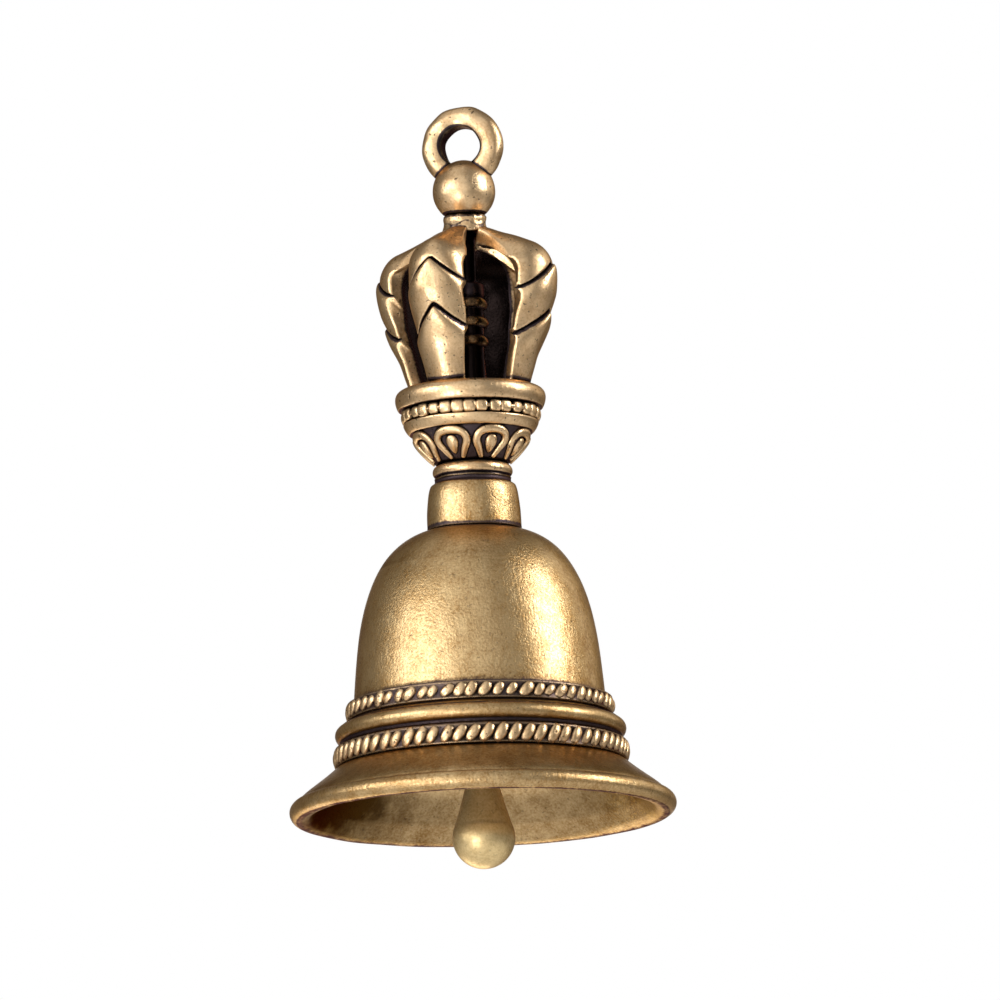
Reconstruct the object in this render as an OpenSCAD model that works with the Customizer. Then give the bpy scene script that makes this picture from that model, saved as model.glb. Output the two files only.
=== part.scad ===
// Miniature brass hand bell with a hanging loop: lotus cup, four-pronged crown, ball finial
// and a loose clapper on a wire link. The origin is the middle of the loop's bore, +Z is up.

/* [Bell] */
// Outer diameter of the lip
lip_d = 24; // [18:0.5:30]
// Height from the lip plane to the seam under the barrel
bell_h = 17.85; // [14:0.05:22]
// Diameter of the rolled bead around the lip
rim_t = 1.2; // [0.8:0.05:1.6]
// Strands around each rope band
strands = 64; // [40:4:80]
// Lean of the rope strands from upright, degrees
strand_lean = 26; // [10:1:40]

/* [Neck and cup] */
// Largest diameter of the barrel
barrel_d = 5.8; // [4.5:0.1:7.5]
// Height of the barrel
barrel_h = 3.25; // [2.5:0.05:4.5]
// Height of the ring between barrel and cup
neck_ring_h = 0.95; // [0.7:0.05:1.4]
// Largest diameter of the lotus cup
cup_d = 9.4; // [7.8:0.1:11.4]
// Height of the lotus cup
cup_h = 4.8; // [4:0.05:6]
// Beads around the cup
beads = 32; // [24:1:38]
// Petals around the cup
petals = 8; // [6:1:9]
// Turn of the ring of petals, degrees
petal_turn = 22.5; // [-30:0.5:30]

/* [Crown] */
// Distance across the crown from ridge to ridge of opposite prongs
crown_d = 12; // [10:0.1:14.5]
// Height from the cup's top to the collar
crown_h = 9.85; // [8:0.05:12]
// Widest width of a prong
prong_w = 3.74; // [3:0.02:4.4]
// Thickness of a prong at its widest, from its ridge to its inner face
prong_t = 1.92; // [1.4:0.02:2.2]
// Turn of the first prong from the front, degrees toward +X
prong_turn = -25; // [-45:1:45]

/* [Finial] */
// Diameter of the collar under the ball
collar_d = 2.76; // [2.2:0.02:3.4]
// Height of the collar
collar_h = 1.12; // [0.8:0.02:1.6]
// Diameter of the ball
ball_d = 3.92; // [3.2:0.02:4.7]
// Diameter of the loop's bore
loop_bore_d = 2.44; // [2:0.02:2.8]
// Thickness of the loop from its bore to its outside
loop_wall = 1.36; // [1.1:0.02:1.6]
// Turn of the loop about +Z, degrees
loop_turn = -15; // [-45:1:45]

/* [Clapper] */
// Diameter of the clapper's ball end
clapper_d = 3.9; // [3.2:0.1:4.7]
// How far the clapper's tip hangs below the lip plane
clapper_drop = 3.3; // [2:0.05:5]
// Length of the wire link between its two wire centres
link_l = 4.74; // [3.9:0.02:5.8]
// Diameter of the link's wire
wire_d = 0.4; // [0.3:0.02:0.5]
// Running clearance of the link in each eye
run_gap = 0.05; // [0.03:0.01:0.1]

/* [Hidden] */
$fn = 96;
fine = 24;

// scale of the bell's outline from its design size
kr = lip_d / 24;
kz = bell_h / 17.85;
lip_r = lip_d / 2;
rim_r = rim_t / 2;
rim_over = 0.1;
fit = 0.02;

// levels above the bell's base line, which the rim reaches rim_over below
z_seam = bell_h;
z_barrel = z_seam + barrel_h;
z_neck = z_barrel + neck_ring_h;
z_cup = z_neck + cup_h;
z_crown = z_cup + crown_h;
z_collar = z_crown + collar_h;
ball_r = ball_d / 2;
collar_r = collar_d / 2;
ball_foot = 0.78 * ball_r;
z_ball = z_collar + ball_foot;
ball_flat = z_ball + 0.88 * ball_r;
loop_bore_r = loop_bore_d / 2;
ball_in_bore = 0.155;
hang_z = ball_flat + loop_bore_r - ball_in_bore;

// rope and plain bands: middle height, outer radius and section radius
low_r = 0.66 * kz;
low_z = 3.8 * kz;
low_out = 9.25 * kr;
mid_r = 0.64 * kz;
mid_z = 5.17 * kz;
mid_out = 9.03 * kr;
top_r = 0.58 * kz;
top_z = 6.65 * kz;
top_out = 8.42 * kr;

// tang through everything from the bell's crown to the ball
tang_r = 0.6;
tang_bore = tang_r + fit;
crown_in = 16.75 * kz;
nut_r = 1.5;
nut_h = 1.4;
tang_end = crown_in - 0.9;

// eye under the nut, link and clapper
wire_r = wire_d / 2;
eye_wire = 0.24;
eye_r = 0.75;
eye_z = crown_in - nut_h - eye_r - 0.15;
link_top = eye_z - eye_r + eye_wire + wire_r + run_gap;
link_low = link_top - link_l;
link_r = 0.6;
link_lap = 0.05;
link_inset = 0.004;
claw_wire = 0.22;
claw_r = 0.72;
claw_top = link_low + wire_r + run_gap + claw_wire;
claw_z = claw_top - claw_r;
clap_r = clapper_d / 2;
clap_z = clap_r - clapper_drop;

// crown arch in side view, seen as radius and height above the cup
kc = crown_h / 9.8;
arch_r = crown_d / 2;
section_t = prong_t + 0.18;
shoulder_r = max(2.2 * kc, section_t + 0.05);
shoulder_z = 6.95 * kc;
shoulder_a = 70;
belly_r = 4 * kc;
belly_z = 5.95 * kc;
belly_a = 20;
leg_l = 6 * kc;
front_r = prong_w / 1.87;
tip_lap = 0.3;
tip_inset = 0.04;
chevron_a = 44;
chevron_w = 0.26;
groove_d = 0.22;

// cup outline pieces
cup_r = cup_d / 2;
kq = cup_h / 4.8;
bead_r = 0.34;
bead_z = z_neck + 3.08 * kq;
bead_c = cup_r - 0.54;
groove_h = 0.42;
petal_r = 0.92;
petal_wire = 0.21;
petal_tilt = 53;

function arc(cx, cz, r, a0, a1, n) =
  [for (i = [0:n]) [cx + r * cos(a0 + (a1 - a0) * i / n), cz + r * sin(a0 + (a1 - a0) * i / n)]];

function bezier(a, b, c, d, n) =
  [for (i = [0:n]) let (t = i / n, u = 1 - t)
    u * u * u * a + 3 * u * u * t * b + 3 * u * t * t * c + t * t * t * d];

// a point of the bell's outline at its design size, brought to the chosen size
function at(r, z) = [r * kr, z * kz];

// puts a shape drawn above the lip plane into the shared frame
module hung() {
  translate([0, 0, -hang_z])
    children();
}

module d_ring(out, r, z) {
  rotate_extrude()
    translate([0, z])
      intersection() {
        translate([out - r, 0])
          circle(r = r, $fn = 48);
        translate([out - r, -2 * r])
          square([2 * r, 4 * r]);
      }
}

module rope(out, r, z) {
  difference() {
    d_ring(out, r, z);
    for (i = [0:strands - 1])
      rotate([0, 0, i * 360 / strands])
        translate([out + 0.02, 0, z])
          rotate([-strand_lean, 0, 0])
            cylinder(r = 0.22 * r, h = 3 * r, center = true, $fn = fine);
  }
}

module bell_shell() {
  color("goldenrod")
    hung()
      rotate_extrude()
        polygon(concat(
          arc(lip_r - rim_r, rim_r - rim_over, rim_r, -90, 60, 8),
          bezier([lip_r - rim_r / 2, 1.87 * rim_r - rim_over], at(11, 1.62), at(10.1, 2.15), at(9.05, 3.1), 6),
          [[low_out - low_r, low_z - low_r], [low_out - low_r, low_z + low_r]],
          [at(8.76, 4.47), at(8.7, 4.52)],
          [[mid_out - mid_r, mid_z - mid_r], [mid_out - mid_r, mid_z + mid_r]],
          [at(8.22, 5.84), at(8.1, 6.04)],
          [[top_out - top_r, top_z - top_r], [top_out - top_r, top_z + top_r]],
          bezier(at(7.8, 7.3), at(7.42, 12.4), at(6.76, 16.93), at(3, 17.85), 20),
          [[tang_bore, z_seam], [tang_bore, crown_in]],
          bezier(at(2.3, 16.75), at(5.85, 15.95), at(6.45, 11.8), at(6.75, 7.3), 14),
          bezier(at(6.95, 6), at(7.5, 4.2), at(8.9, 2.3), [lip_r - rim_t, 0], 6)
        ));
}

module lower_rope_band() {
  color("darkgoldenrod")
    hung()
      rope(low_out, low_r, low_z);
}

module middle_band() {
  color("gold")
    hung()
      d_ring(mid_out, mid_r, mid_z);
}

module upper_rope_band() {
  color("darkgoldenrod")
    hung()
      rope(top_out, top_r, top_z);
}

module neck_barrel() {
  barrel_r = barrel_d / 2;
  color("goldenrod")
    hung()
      rotate_extrude()
        polygon(concat(
          [[tang_bore, z_seam], [barrel_r - 0.12, z_seam]],
          bezier([barrel_r - 0.02, z_seam + 0.12], [barrel_r + 0.02, z_seam + 0.45 * barrel_h],
            [barrel_r - 0.05, z_seam + 0.9 * barrel_h], [0.85 * barrel_r, z_barrel - 0.12], 8),
          [[0.8 * barrel_r, z_barrel], [tang_bore, z_barrel]]
        ));
}

module neck_ring() {
  ring_r = 0.86 * barrel_d / 2;
  color("gold")
    hung()
      rotate_extrude()
        polygon(concat(
          [[tang_bore, z_barrel], [ring_r - 0.3, z_barrel]],
          arc(ring_r - 0.36, z_barrel + neck_ring_h / 2, 0.36, -60, 60, 6),
          [[ring_r - 0.3, z_neck], [tang_bore, z_neck]]
        ));
}

module petal() {
  rotate([0, 0, -55])
    rotate_extrude(angle = 290)
      translate([petal_r, 0])
        circle(r = petal_wire, $fn = fine);
  translate([0, -0.1, -0.12])
    sphere(r = 0.42, $fn = fine);
}

module lotus_cup() {
  color("goldenrod")
    hung() {
      rotate_extrude()
        polygon(concat(
          [[tang_bore, z_neck], [2.25, z_neck]],
          bezier([2.35, z_neck + 0.15 * kq], [cup_r - 1.9, z_neck + 0.6 * kq],
            [cup_r - 1.3, z_neck + 1.2 * kq], [cup_r - 1.04, z_neck + 1.95 * kq], 6),
          [[cup_r - 0.84, z_neck + 1.98 * kq], [cup_r - 0.48, z_neck + 2.6 * kq]],
          [[bead_c - bead_r - fit, bead_z - groove_h], [bead_c - bead_r - fit, bead_z + groove_h]],
          [[cup_r - 0.18, z_neck + 3.55 * kq]],
          bezier([cup_r - 0.12, z_neck + 3.65 * kq], [cup_r + 0.07, z_neck + 4.15 * kq],
            [cup_r + 0.05, z_cup - 0.1], [cup_r - 0.65, z_cup], 6),
          [[tang_bore, z_cup]]
        ));
      for (i = [0:petals - 1])
        rotate([0, 0, petal_turn + i * 360 / petals])
          translate([cup_r - 1.45, 0, z_neck + 1.14 * kq])
            rotate([180 - petal_tilt, 0, 90])
              petal();
    }
}

module bead_ring() {
  color("gold")
    hung()
      translate([0, 0, bead_z]) {
        rotate_extrude()
          translate([bead_c, 0])
            circle(r = 0.16, $fn = fine);
        for (i = [0:beads - 1])
          rotate([0, 0, i * 360 / beads])
            translate([bead_c, 0, 0])
              sphere(r = bead_r, $fn = fine);
      }
}

module rib(z) {
  translate([0, 0, z])
    rotate_extrude()
      translate([0.9, 0])
        circle(r = 0.34, $fn = fine);
}

module core_spindle() {
  color("sienna")
    hung() {
      translate([0, 0, tang_end])
        cylinder(r = tang_r, h = z_ball - tang_end);
      translate([0, 0, z_cup])
        cylinder(r = 1.05, h = 0.68 * crown_h);
      for (k = [0.3, 0.42, 0.54])
        rib(z_cup + k * crown_h);
    }
}

// section of a prong: ridge at the origin, inward is -X, its sides drawn in to the back
module prong_section(inset = 0) {
  half = prong_w / 2 - inset;
  edge_a = asin(half / (front_r - inset));
  back = 0.58 * half;
  polygon(concat(
    arc(-front_r, 0, front_r - inset, -edge_a, edge_a, 8),
    [[inset - section_t, back], [inset - section_t, -back]]
  ));
}

// room inside the crown, round which the inner faces of the prongs are hollowed
module crown_room() {
  r = arch_r - prong_t;
  rotate_extrude()
    polygon(concat(
      [[0, -1], [r - 1.5, -1]],
      bezier([r - 1.23, 0], [r - 0.63, 2.1 * kc], [r - 0.03, 4.2 * kc], [r, 6 * kc], 6),
      bezier([r + 0.01, 6.2 * kc], [r + 0.02, 7.6 * kc], [0.84 * r, 8.45 * kc], [1, 8.9 * kc], 7),
      [[0, 8.95 * kc]]
    ));
}

module arch() {
  translate([arch_r - shoulder_r, 0, shoulder_z])
    rotate([0, -shoulder_a, 0]) {
      rotate([90, 0, 0])
        rotate([0, 0, -shoulder_a])
          rotate_extrude(angle = shoulder_a)
            translate([shoulder_r, 0])
              prong_section();
      translate([shoulder_r, 0, -tip_lap])
        linear_extrude(4.6 * kc)
          prong_section(tip_inset);
    }
  translate([arch_r, 0, belly_z])
    linear_extrude(shoulder_z - belly_z)
      prong_section();
  translate([arch_r - belly_r, 0, belly_z])
    rotate([0, belly_a, 0]) {
      rotate([90, 0, 0])
        rotate_extrude(angle = belly_a)
          translate([belly_r, 0])
            prong_section();
      translate([belly_r, 0, -leg_l])
        linear_extrude(leg_l)
          prong_section();
    }
}

// chevron groove around the front of a prong, its floor concentric with the front
module chevron() {
  h = chevron_w / 2;
  drop = prong_w * tan(chevron_a);
  difference() {
    translate([-1, 0, 0])
      rotate([90, 0, 90])
        linear_extrude(2)
          polygon([
            [0, h], [prong_w, h - drop], [prong_w, -h - drop],
            [0, -h], [-prong_w, -h - drop], [-prong_w, h - drop]
          ]);
    translate([-front_r, 0, -4])
      cylinder(r = front_r - groove_d, h = 8);
  }
}

module chevrons() {
  translate([arch_r, 0, shoulder_z])
    translate([0, 0, 0.2 * kc])
      rotate([0, -6, 0])
        chevron();
  translate([arch_r - belly_r, 0, belly_z])
    rotate([0, belly_a, 0])
      translate([belly_r, 0, -0.45 * kc])
        chevron();
}

// front view of a prong: it narrows to its foot
module prong_front() {
  w = prong_w / 2;
  rotate([90, 0, 90])
    linear_extrude(arch_r + 1)
      polygon([
        [-0.68 * w, 0], [0.68 * w, 0], [0.84 * w, 1.8 * kc], [0.96 * w, 3.8 * kc],
        [w, 5.6 * kc], [w, 12 * kc], [-w, 12 * kc], [-w, 5.6 * kc],
        [-0.96 * w, 3.8 * kc], [-0.84 * w, 1.8 * kc]
      ]);
}

// plan of a prong: it narrows to its tip, and stays clear of its neighbours
module prong_plan() {
  ka = arch_r / 6;
  w = prong_w / 2;
  linear_extrude(2 * crown_h)
    polygon([
      [0.04 * ka, 0], [0.6 * ka, 0.26 * w], [1.5 * ka, 0.42 * w], [2.5 * ka, 0.6 * w],
      [3.5 * ka, 0.82 * w], [4.5 * ka, 1.02 * w], [arch_r + 1, 1.1 * w],
      [arch_r + 1, -1.1 * w], [4.5 * ka, -1.02 * w], [3.5 * ka, -0.82 * w],
      [2.5 * ka, -0.6 * w], [1.5 * ka, -0.42 * w], [0.6 * ka, -0.26 * w]
    ]);
}

module prong(i) {
  color("gold")
    hung()
      rotate([0, 0, prong_turn + 90 * (i - 1) - 90])
        translate([0, 0, z_cup])
          difference() {
            intersection() {
              arch();
              prong_front();
              prong_plan();
            }
            chevrons();
            crown_room();
            translate([0, 0, -1])
              cylinder(r = 1.07, h = 0.68 * crown_h + 1);
            translate([0, 0, -1])
              cylinder(r = tang_bore, h = crown_h + 2);
            translate([0, 0, crown_h])
              cylinder(r = collar_r + 0.1, h = 3);
          }
}

module crown_prong_1() {
  prong(1);
}

module crown_prong_2() {
  prong(2);
}

module crown_prong_3() {
  prong(3);
}

module crown_prong_4() {
  prong(4);
}

module crown_collar() {
  color("goldenrod")
    hung()
      rotate_extrude()
        polygon([
          [tang_bore, z_crown], [collar_r, z_crown], [collar_r, z_crown + 0.3 * collar_h],
          [collar_r - 0.08, z_crown + 0.42 * collar_h], [collar_r - 0.08, z_crown + 0.7 * collar_h],
          [collar_r - 0.02, z_collar - 0.1], [collar_r - 0.12, z_collar], [tang_bore, z_collar]
        ]);
}

module ball_solid() {
  difference() {
    translate([0, 0, z_ball])
      sphere(r = ball_r);
    translate([-ball_r, -ball_r, z_collar - 2])
      cube([ball_d, ball_d, 2]);
    translate([-ball_r, -ball_r, ball_flat])
      cube([ball_d, ball_d, 2]);
  }
}

module finial_ball() {
  color("gold")
    hung()
      difference() {
        ball_solid();
        translate([0, 0, z_collar - 1])
          cylinder(r = tang_bore, h = z_ball - z_collar + 1 + fit);
      }
}

module hanging_loop() {
  tube = 0.56 * loop_wall;
  out = loop_bore_r + loop_wall;
  color("goldenrod")
    difference() {
      rotate([0, 0, loop_turn])
        rotate([90, 0, 0])
          rotate_extrude()
            intersection() {
              translate([out - tube, 0])
                circle(r = tube, $fn = 48);
              translate([loop_bore_r, -loop_wall])
                square([loop_wall + 1, 2 * loop_wall]);
            }
      hung()
        ball_solid();
    }
}

module clapper_eye() {
  color("sienna")
    hung() {
      difference() {
        translate([0, 0, crown_in - nut_h])
          cylinder(r = nut_r, h = nut_h);
        translate([0, 0, tang_end - fit])
          cylinder(r = tang_bore, h = 2);
      }
      translate([0, 0, eye_z])
        rotate([90, 0, 0])
          rotate_extrude()
            translate([eye_r, 0])
              circle(r = eye_wire, $fn = fine);
    }
}

module link_bend(z, up) {
  translate([0, 0, z])
    rotate([up > 0 ? 0 : 180, 0, 0])
      rotate([90, 0, 90])
        rotate_extrude(angle = 180)
          translate([link_r, 0])
            circle(r = wire_r, $fn = fine);
}

module clapper_link() {
  color("peru")
    hung() {
      link_bend(link_top - link_r, 1);
      link_bend(link_low + link_r, -1);
      for (s = [-1, 1])
        translate([0, s * link_r, link_low + link_r - link_lap])
          cylinder(r = wire_r - link_inset, h = link_l - 2 * link_r + 2 * link_lap, $fn = fine);
    }
}

module clapper() {
  stem = claw_z - claw_r;
  color("gold")
    hung() {
      rotate_extrude()
        polygon(concat(
          [[0, clap_z - clap_r]],
          arc(0, clap_z, clap_r, -84, 8, 14),
          bezier([0.955 * clap_r, clap_z + 0.7], [0.76 * clap_r, clap_z + 1.5],
            [0.6 * clap_r, clap_z + 1.9], [0.53 * clap_r, clap_z + 3.3], 6),
          [[0.44 * clap_r, stem - 2], [0.32 * clap_r, stem - 0.3], [0.3, stem + 0.08], [0, stem + 0.08]]
        ));
      translate([0, 0, claw_z])
        rotate([90, 0, 0])
          rotate_extrude()
            translate([claw_r, 0])
              circle(r = claw_wire, $fn = fine);
    }
}

bell_shell();
lower_rope_band();
middle_band();
upper_rope_band();
neck_barrel();
neck_ring();
lotus_cup();
bead_ring();
core_spindle();
crown_prong_1();
crown_prong_2();
crown_prong_3();
crown_prong_4();
crown_collar();
finial_ball();
hanging_loop();
clapper_eye();
clapper_link();
clapper();
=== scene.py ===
import bmesh
import bpy
import math
import numpy as np
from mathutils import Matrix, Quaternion, Vector, noise
from mathutils.bvhtree import BVHTree


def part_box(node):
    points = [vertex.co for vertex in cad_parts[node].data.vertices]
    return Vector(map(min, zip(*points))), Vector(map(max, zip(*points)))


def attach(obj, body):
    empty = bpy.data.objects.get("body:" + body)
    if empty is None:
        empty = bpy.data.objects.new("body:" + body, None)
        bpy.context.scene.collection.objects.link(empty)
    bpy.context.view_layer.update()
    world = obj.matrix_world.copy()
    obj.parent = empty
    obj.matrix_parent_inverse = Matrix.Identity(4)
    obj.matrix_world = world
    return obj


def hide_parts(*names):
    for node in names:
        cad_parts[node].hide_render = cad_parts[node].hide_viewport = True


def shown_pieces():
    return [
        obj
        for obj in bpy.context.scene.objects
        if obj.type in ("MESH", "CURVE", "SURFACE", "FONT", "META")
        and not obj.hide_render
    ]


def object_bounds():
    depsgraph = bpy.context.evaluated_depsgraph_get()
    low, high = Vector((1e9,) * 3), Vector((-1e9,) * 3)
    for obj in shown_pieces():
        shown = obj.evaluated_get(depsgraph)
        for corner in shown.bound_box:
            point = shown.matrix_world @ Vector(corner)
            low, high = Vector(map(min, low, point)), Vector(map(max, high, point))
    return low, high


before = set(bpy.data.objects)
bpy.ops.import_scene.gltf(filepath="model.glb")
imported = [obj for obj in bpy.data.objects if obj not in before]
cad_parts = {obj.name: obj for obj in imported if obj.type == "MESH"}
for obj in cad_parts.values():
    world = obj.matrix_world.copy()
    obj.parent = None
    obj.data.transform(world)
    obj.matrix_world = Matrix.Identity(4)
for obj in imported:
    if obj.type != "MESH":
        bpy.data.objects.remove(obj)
cad_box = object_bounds()

# --- The bell -----------------------------------------------------------------
# One casting in brass, turned smooth on a lathe: a domed crown, a straight wall with seats
# for three bands, a flare and a thick rolled lip. It is brushed satin; inside, and on top of
# the flare, shade is painted in as darker brown, most on the left of the inner wall.

MM = 0.001
RIM_OVER = 0.1
BASE_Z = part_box("bell_shell")[0][2] + RIM_OVER * MM
LIP_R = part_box("bell_shell")[1][0] / MM
SEAM_Z = (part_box("bell_shell")[1][2] - BASE_Z) / MM
CEILING_Z = 16.75
PAINTED_SHADE_BROWN = (0.06, 0.032, 0.01, 1)
THIN_PATINA = (0.058, 0.042, 0.046, 1)
THICK_PATINA = (0.006, 0.0042, 0.0045, 1)
PIT_BLACK = (0.012, 0.008, 0.008, 1)
WARM_EDGE = (0.5, 0.3, 0.16, 1)


def arc(cx, cz, r, start, end, steps):
    """Points on a circle, angles in degrees."""
    turn = np.radians(np.linspace(start, end, steps + 1))
    return np.stack([cx + r * np.cos(turn), cz + r * np.sin(turn)], 1)


def bezier(a, b, c, d, steps):
    """Points on a cubic curve between a and d."""
    t = np.linspace(0, 1, steps + 1)[:, None]
    a, b, c, d = (np.array(p, float) for p in (a, b, c, d))
    return (1 - t) ** 3 * a + 3 * (1 - t) ** 2 * t * b + 3 * (1 - t) * t * t * c + t ** 3 * d


def lathe(outline, turns=256):
    """Vertices and faces of an outline of radius and height, turned about the axis.
    An outline that starts and ends on the axis is closed with a point at each end."""
    outline = np.array(outline, float)
    poled = outline[0, 0] < 1e-6
    rows = outline[1:-1] if poled else outline
    count = len(rows)
    turn = np.linspace(0, 2 * np.pi, turns, endpoint=False)
    verts = np.stack([
        np.outer(np.cos(turn), rows[:, 0]),
        np.outer(np.sin(turn), rows[:, 0]),
        np.tile(rows[:, 1], (turns, 1)),
    ], 2).reshape(-1, 3)
    faces = []
    for i in range(turns):
        j = (i + 1) % turns
        for n in range(count - 1 if poled else count):
            m = (n + 1) % count
            faces.append((i * count + n, j * count + n, j * count + m, i * count + m))
    if poled:
        first = len(verts)
        ends = [[0, 0, outline[0, 1]], [0, 0, outline[-1, 1]]]
        verts = np.vstack([verts, ends])
        for i in range(turns):
            j = (i + 1) % turns
            faces.append((first, j * count, i * count))
            faces.append((first + 1, i * count + count - 1, j * count + count - 1))
    return verts, faces


def together(*parts):
    """Several sets of vertices and faces as one."""
    verts, faces = [], []
    start = 0
    for v, f in parts:
        verts.append(v)
        faces += [tuple(i + start for i in face) for face in f]
        start += len(v)
    return np.vstack(verts), faces


def cast(verts, depth, size, seed=0):
    """The slight unevenness of a casting: moves points by up to depth over patches of size."""
    noise.seed_set(seed + 1)
    shift = Vector((seed * 7.3, seed * 3.1, seed * 1.7))
    return np.array([
        np.array(v) + depth * np.array(noise.noise_vector(Vector(v) / size + shift)) for v in verts
    ])


def metal(name, verts, faces, base=BASE_Z):
    """An object made from millimetres above the bell's base line, its faces turned outwards."""
    mesh = bpy.data.meshes.new(name)
    mesh.from_pydata((np.array(verts) * MM + (0, 0, base)).tolist(), [], faces)
    work = bmesh.new()
    work.from_mesh(mesh)
    bmesh.ops.recalc_face_normals(work, faces=work.faces)
    work.to_mesh(mesh)
    work.free()
    mesh.shade_smooth()
    obj = bpy.data.objects.new(name, mesh)
    bpy.context.scene.collection.objects.link(obj)
    return obj


def patina_and_shade(obj, amounts, kind="patina_and_shade"):
    """Marks how much old polish stays at each point of a piece, whatever its shape there, and
    where painted shade is added to it. Called with a second kind, it marks painted shade that
    makes the metal a darker brown."""
    held = obj.data.attributes.new(kind, "FLOAT", "POINT")
    held.data.foreach_set("value", np.array(amounts, np.float32))


def step(values, low, high):
    """0 below low, 1 above high and soft between."""
    t = np.clip((np.array(values) - low) / (high - low), 0, 1)
    return t * t * (3 - 2 * t)


def fit(obj, body, finish, *nodes):
    """The piece stands for its CAD nodes and moves with their body."""
    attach(obj, body)
    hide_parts(*nodes)


class Wire:
    """A shader socket that can be added, subtracted and multiplied."""

    def __init__(self, tree, socket=None):
        self.tree = tree
        self.socket = socket

    def node(self, kind, settings=None, inputs=None, out=0):
        made = self.tree.nodes.new(kind)
        for key, value in (settings or {}).items():
            setattr(made, key, value)
        for key, value in (inputs or {}).items():
            if isinstance(value, Wire):
                self.tree.links.new(value.socket, made.inputs[key])
            else:
                made.inputs[key].default_value = value
        return Wire(self.tree, made.outputs[out] if len(made.outputs) else None)

    def maths(self, operation, first, second):
        return self.node("ShaderNodeMath", {"operation": operation}, {0: first, 1: second})

    def __add__(self, other):
        return self.maths("ADD", self, other)

    def __radd__(self, other):
        return self.maths("ADD", other, self)

    def __sub__(self, other):
        return self.maths("SUBTRACT", self, other)

    def __rsub__(self, other):
        return self.maths("SUBTRACT", other, self)

    def __mul__(self, other):
        return self.maths("MULTIPLY", self, other)

    def __rmul__(self, other):
        return self.maths("MULTIPLY", other, self)

    def between(self, low, high, start=0.0, end=1.0):
        """start below low and end above high, with a soft step."""
        return self.node(
            "ShaderNodeMapRange",
            {"interpolation_type": "SMOOTHSTEP"},
            {0: self, 1: low, 2: high, 3: start, 4: end},
        )

    def mix(self, first, second):
        """A colour from first to second as this value goes from 0 to 1."""
        return self.node(
            "ShaderNodeMix",
            {"data_type": "RGBA"},
            {0: self, 6: first, 7: second},
            out=2,
        )


def brass(
    name, bright, brown, rough=0.4, gather=1.0, shadow=0.3, wide_shade_brown=0.6, tarnish=0.5,
    grain=1.0, turned=0.5, pitted=0.5, rubbed=0.4, lacquer=0.15, matte=0.0,
):
    """Brass with dark patina where fine hollows gather it, painted shade in the wide hollows and
    edges rubbed bright. gather weighs the fine hollows; shadow weighs the wide ones, painting
    shade into the patina there, and wide_shade_brown browns them as painted shade. tarnish
    is the share of brown on open faces, turned is the strength of the lathe marks. The patina
    is purple-grey where it lies thin and black where it lies thick. Where a piece is marked
    with painted shade its metal is darker brown and has no clear coat. lacquer is the clear
    coat's weight, and matte takes away from the metal's shine."""
    mat = bpy.data.materials.new(name)
    mat.use_nodes = True
    tree = mat.node_tree
    tree.nodes.clear()
    pen = Wire(tree)
    place = pen.node("ShaderNodeTexCoord", out="Object")

    def cloud(scale, detail, squash=(1, 1, 1)):
        spot = pen.node("ShaderNodeMapping", {}, {"Vector": place, "Scale": squash})
        return pen.node("ShaderNodeTexNoise", {}, {
            "Vector": spot, "Scale": scale, "Detail": detail, "Roughness": 0.6,
        })

    def held(attribute):
        return pen.node("ShaderNodeAttribute", {"attribute_name": attribute}, out="Fac")

    fine = held("fine")
    wide = held("wide")
    patches = cloud(210, 4)
    mottle = cloud(900, 5)
    speck = cloud(6500, 3)
    rings = cloud(500, 3, (0.35, 0.35, 9))
    scratch = cloud(1100, 2, (5, 0.6, 1.4))
    pits = cloud(4200, 1).between(0.66, 0.73)

    rub = held("ridge").between(0.8, 3.6) * rubbed
    # The wide hollows add painted shade to the patina here.
    hollow = fine * gather + wide * shadow + held("patina_and_shade")
    hollow = hollow + (mottle - 0.5) * 0.4 + (speck - 0.5) * 0.3
    patina = hollow.between(0.3, 0.6) * (1 - rub)
    # The wide hollows are browned here as painted shade.
    stain = (patches - 0.5) * 1.5 + (mottle - 0.5) * 1.4 + (speck - 0.5) * 1.8 + wide * wide_shade_brown
    stain = (stain + (tarnish - 0.5) * 1.6).between(-0.75, 0.85)
    clean = stain.mix((*bright, 1), (*brown, 1))
    # Painted shade: where a piece is marked, its metal is darkened to a deep brown.
    painted_shade = held("painted_shade")
    clean = (painted_shade * (mottle + 0.5)).mix(clean, PAINTED_SHADE_BROWN)
    clean = rub.mix(clean, (*(min(1.0, c * 1.2) for c in bright), 1))
    thick = hollow.between(0.75, 1.15)
    dirt = thick.mix(THIN_PATINA, THICK_PATINA)
    colour = patina.mix(clean, dirt)
    colour = (pits * pitted).mix(colour, PIT_BLACK)
    gloss = rough + (speck - 0.5) * 0.3 + (mottle - 0.5) * 0.14 + patina * 0.1 - thick * 0.2
    height = speck * (0.75 * grain) + mottle * (0.5 * grain) + rings * (0.6 * turned)
    height = height + scratch * (0.4 * grain) - pits * (0.8 * pitted)
    relief = pen.node(
        "ShaderNodeBump", {}, {"Strength": 0.4, "Distance": 0.00005, "Height": height}
    )
    shader = pen.node("ShaderNodeBsdfPrincipled", {}, {
        "Base Color": colour, "Roughness": gloss, "Normal": relief,
        "Metallic": (1 - matte) - patina * 0.12,
        "Coat Weight": (1 - patina) * (1 - painted_shade) * lacquer, "Coat Roughness": 0.28,
        "Specular Tint": WARM_EDGE,
    })
    pen.node("ShaderNodeOutputMaterial", {}, {"Surface": shader})
    return mat


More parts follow.
